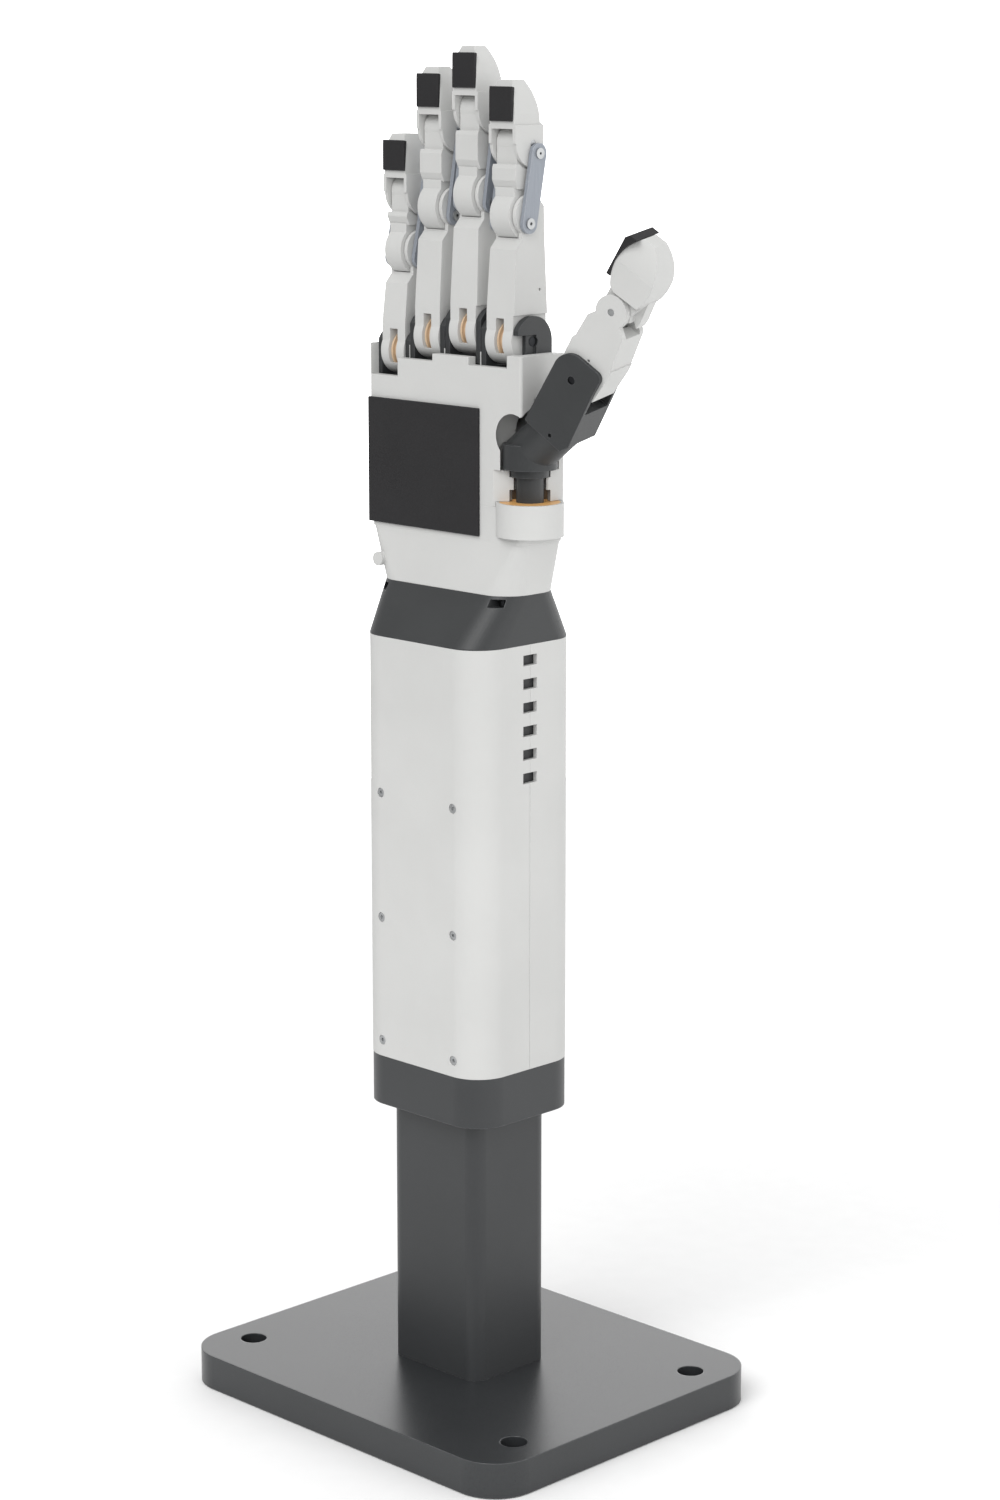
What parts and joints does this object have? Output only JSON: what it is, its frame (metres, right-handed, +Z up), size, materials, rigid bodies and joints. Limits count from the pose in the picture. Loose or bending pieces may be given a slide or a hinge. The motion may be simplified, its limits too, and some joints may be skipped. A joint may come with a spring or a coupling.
{
  "type": "robot hand",
  "caption": "Right-hand robot hand with jointed fingers and thumb on a forearm shell, column and flat bench stand.",
  "frame": {"origin": "centre of the base plate's floor-bolt pattern, on its underside", "axes": "+Z up along the forearm, palm faces -Y, thumb on the +X side"},
  "size_m": [0.1937, 0.15, 0.5328],
  "materials": {
    "dark_anodised": "satin",
    "white_shell": "matte",
    "steel": "satin",
    "motor_steel": "satin",
    "board_black": "matte",
    "dark_polymer": "matte",
    "black_steel": "satin",
    "black_rubber": "matte",
    "amber_polymer": "satin",
    "link_grey": "satin"
  },
  "bodies": {
    "stand_and_palm": {"base_plate": "dark_anodised", "column": "dark_anodised", "forearm_cap": "dark_anodised", "forearm_front": "white_shell", "forearm_back": "white_shell", "forearm_screws": "steel", "motor_frame": "dark_anodised", "motors": "motor_steel", "port_board": "board_black", "wrist_adaptor": "dark_polymer", "wrist_screws": "black_steel", "palm_lower": "white_shell", "palm_upper": "white_shell", "palm_pad": "black_rubber", "thumb_bearing": "amber_polymer", "knuckle_index": "dark_polymer", "knuckle_middle": "dark_polymer", "knuckle_ring": "dark_polymer", "knuckle_pinky": "dark_polymer", "mcp_axles": "black_steel"},
    "index_proximal": {"index_proximal": "white_shell", "index_pulley": "amber_polymer", "index_lower_pins": "steel"},
    "index_middle": {"index_middle": "white_shell"},
    "index_distal": {"index_distal": "white_shell", "index_pad": "black_rubber", "index_upper_pins": "steel"},
    "index_links": {"index_links": "link_grey"},
    "middle_proximal": {"middle_proximal": "white_shell", "middle_pulley": "amber_polymer", "middle_lower_pins": "steel"},
    "middle_middle": {"middle_middle": "white_shell"},
    "middle_distal": {"middle_distal": "white_shell", "middle_pad": "black_rubber", "middle_upper_pins": "steel"},
    "middle_links": {"middle_links": "link_grey"},
    "ring_proximal": {"ring_proximal": "white_shell", "ring_pulley": "amber_polymer", "ring_lower_pins": "steel"},
    "ring_middle": {"ring_middle": "white_shell"},
    "ring_distal": {"ring_distal": "white_shell", "ring_pad": "black_rubber", "ring_upper_pins": "steel"},
    "ring_links": {"ring_links": "link_grey"},
    "pinky_proximal": {"pinky_proximal": "white_shell", "pinky_pulley": "amber_polymer", "pinky_lower_pins": "steel"},
    "pinky_middle": {"pinky_middle": "white_shell"},
    "pinky_distal": {"pinky_distal": "white_shell", "pinky_pad": "black_rubber", "pinky_upper_pins": "steel"},
    "pinky_links": {"pinky_links": "link_grey"},
    "thumb_base": {"thumb_fork": "dark_polymer", "thumb_mcp_axle": "black_steel"},
    "thumb_proximal": {"thumb_proximal": "white_shell", "thumb_ip_axle": "steel"},
    "thumb_distal": {"thumb_distal": "white_shell", "thumb_pad": "black_rubber"}
  },
  "joints": [
    {"name": "index_mcp", "type": "hinge", "parent": "stand_and_palm", "child": "index_proximal", "pos_m": [0.0257, 0, 0.4247], "axis": [1, 0, 0], "range_deg": [0, 90]},
    {"name": "index_pip", "type": "hinge", "parent": "index_proximal", "child": "index_middle", "pos_m": [0.0257, 0.0006, 0.4713], "axis": [1, 0, 0], "range_deg": [0, 86]},
    {"name": "index_dip", "type": "hinge", "parent": "index_middle", "child": "index_distal", "pos_m": [0.0257, 0.0022, 0.4975], "axis": [1, 0, 0], "range_deg": [0, 56.76]},
    {"name": "index_link", "type": "hinge", "parent": "index_proximal", "child": "index_links", "pos_m": [0.0257, -0.0012, 0.4683], "axis": [1, 0, 0], "range_deg": [0, 75.78]},
    {"name": "middle_mcp", "type": "hinge", "parent": "stand_and_palm", "child": "middle_proximal", "pos_m": [0.0061, 0, 0.4273], "axis": [1, 0, 0], "range_deg": [0, 90]},
    {"name": "middle_pip", "type": "hinge", "parent": "middle_proximal", "child": "middle_middle", "pos_m": [0.0061, 0.0006, 0.4782], "axis": [1, 0, 0], "range_deg": [0, 86]},
    {"name": "middle_dip", "type": "hinge", "parent": "middle_middle", "child": "middle_distal", "pos_m": [0.0061, 0.0022, 0.5093], "axis": [1, 0, 0], "range_deg": [0, 56.76]},
    {"name": "middle_link", "type": "hinge", "parent": "middle_proximal", "child": "middle_links", "pos_m": [0.0061, -0.0012, 0.4752], "axis": [1, 0, 0], "range_deg": [0, 77.41]},
    {"name": "ring_mcp", "type": "hinge", "parent": "stand_and_palm", "child": "ring_proximal", "pos_m": [-0.0133, 0, 0.4241], "axis": [1, 0, 0], "range_deg": [0, 90]},
    {"name": "ring_pip", "type": "hinge", "parent": "ring_proximal", "child": "ring_middle", "pos_m": [-0.0133, 0.0006, 0.4728], "axis": [1, 0, 0], "range_deg": [0, 86]},
    {"name": "ring_dip", "type": "hinge", "parent": "ring_middle", "child": "ring_distal", "pos_m": [-0.0133, 0.0022, 0.5019], "axis": [1, 0, 0], "range_deg": [0, 56.76]},
    {"name": "ring_link", "type": "hinge", "parent": "ring_proximal", "child": "ring_links", "pos_m": [-0.0133, -0.0012, 0.4698], "axis": [1, 0, 0], "range_deg": [0, 76.81]},
    {"name": "pinky_mcp", "type": "hinge", "parent": "stand_and_palm", "child": "pinky_proximal", "pos_m": [-0.032, 0, 0.4172], "axis": [1, 0, 0], "range_deg": [0, 90]},
    {"name": "pinky_pip", "type": "hinge", "parent": "pinky_proximal", "child": "pinky_middle", "pos_m": [-0.032, 0.0006, 0.4557], "axis": [1, 0, 0], "range_deg": [0, 86]},
    {"name": "pinky_dip", "type": "hinge", "parent": "pinky_middle", "child": "pinky_distal", "pos_m": [-0.032, 0.0022, 0.4777], "axis": [1, 0, 0], "range_deg": [0, 56.76]},
    {"name": "pinky_link", "type": "hinge", "parent": "pinky_proximal", "child": "pinky_links", "pos_m": [-0.032, -0.0012, 0.4527], "axis": [1, 0, 0], "range_deg": [0, 73.8]},
    {"name": "thumb_rotation", "type": "hinge", "parent": "stand_and_palm", "child": "thumb_base", "pos_m": [0.0363, -0.00284, 0.365], "axis": [0, 0, -1], "range_deg": [0, 60]},
    {"name": "thumb_mcp", "type": "hinge", "parent": "thumb_base", "child": "thumb_proximal", "pos_m": [0.06444, -0.00294, 0.4147], "axis": [0.1982, -0.9703, -0.1388], "range_deg": [0, 48]},
    {"name": "thumb_ip", "type": "hinge", "parent": "thumb_proximal", "child": "thumb_distal", "pos_m": [0.08271, -0.00284, 0.44012], "axis": [0.1982, -0.9703, -0.1388], "range_deg": [0, 70]}
  ],
  "couplings": [
    {"joint": "index_dip", "follows": "index_pip", "ratio": 0.66},
    {"joint": "index_link", "follows": "index_pip", "ratio": 0.881},
    {"joint": "middle_dip", "follows": "middle_pip", "ratio": 0.66},
    {"joint": "middle_link", "follows": "middle_pip", "ratio": 0.9},
    {"joint": "ring_dip", "follows": "ring_pip", "ratio": 0.66},
    {"joint": "ring_link", "follows": "ring_pip", "ratio": 0.893},
    {"joint": "pinky_dip", "follows": "pinky_pip", "ratio": 0.66},
    {"joint": "pinky_link", "follows": "pinky_pip", "ratio": 0.858}
  ]
}
